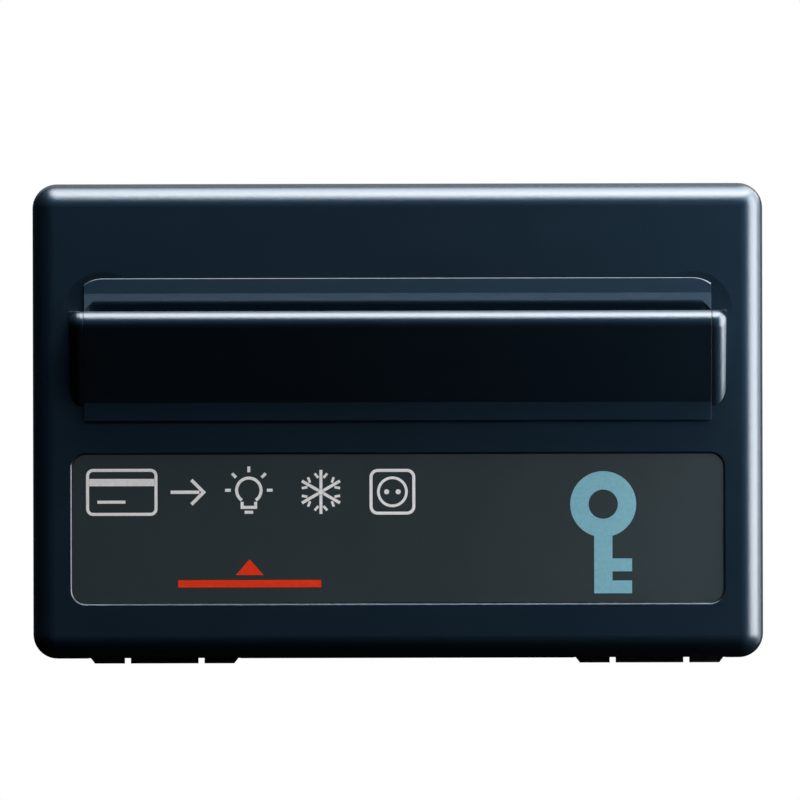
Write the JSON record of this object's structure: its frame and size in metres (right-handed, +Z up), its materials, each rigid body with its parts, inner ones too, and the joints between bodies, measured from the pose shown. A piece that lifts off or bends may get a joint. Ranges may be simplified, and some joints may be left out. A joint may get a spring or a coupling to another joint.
{
  "type": "hotel key card switch",
  "caption": "Wall plate with a sloping card slot and a label; a card pushed into the slot turns a sprung lever that works a changeover contact in the module behind.",
  "frame": {"origin": "middle between the two box screws, on the wall plane behind the support frame", "axes": "+X to the right seen from the front, +Y into the wall, +Z up"},
  "size_m": [0.12, 0.0429, 0.0788],
  "materials": {
    "cover_plastic": "fine spark-eroded texture, satin",
    "label_film": "printed film, matt",
    "guide_plastic": "as moulded",
    "frame_plastic": "as moulded, glass filled",
    "module_plastic": "as moulded",
    "lever_plastic": "acetal, smooth",
    "switch_plastic": "as moulded",
    "plunger_plastic": "smooth",
    "steel": "zinc plated",
    "brass": "stamped",
    "contact_silver": "silver alloy"
  },
  "bodies": {
    "housing": {"front_cover": "cover_plastic", "slot_nose": "cover_plastic", "label_plate": "label_film", "card_guide": "guide_plastic", "guide_screws": "steel", "mounting_frame": "frame_plastic", "module_body": "module_plastic", "module_back": "module_plastic", "back_screws": "steel", "lever_pin": "steel", "lever_spring": "steel", "switch_case": "switch_plastic", "switch_lid": "switch_plastic", "common_terminal": "brass", "open_terminal": "brass", "closed_terminal": "brass", "terminal_clamps": "brass", "terminal_screws": "steel"},
    "lever": {"card_lever": "lever_plastic"},
    "plunger": {"switch_plunger": "plunger_plastic"},
    "blade": {"snap_blade": "brass", "blade_contact": "contact_silver"}
  },
  "joints": [
    {"name": "lever_turn", "type": "hinge", "parent": "housing", "child": "lever", "pos_m": [0, 0.004, 0.001], "axis": [1, 0, 0], "range_deg": [0, 16], "stiffness_Nm_per_rad": 0.004, "springref_deg": -34.38, "deforming": ["lever_spring"]},
    {"name": "plunger_push", "type": "slide", "parent": "housing", "child": "plunger", "axis": [0, 0, 1], "range_m": [0, 0.00101]},
    {"name": "blade_turn", "type": "hinge", "parent": "housing", "child": "blade", "pos_m": [-0.00715, 0.0076, 0.00566], "axis": [0, -1, 0], "range_deg": [0, 8.01]}
  ],
  "couplings": [
    {"joint": "plunger_push", "follows": "lever_turn", "m_per_rad": 0.0036},
    {"joint": "blade_turn", "follows": "lever_turn", "ratio": 0.50025}
  ]
}
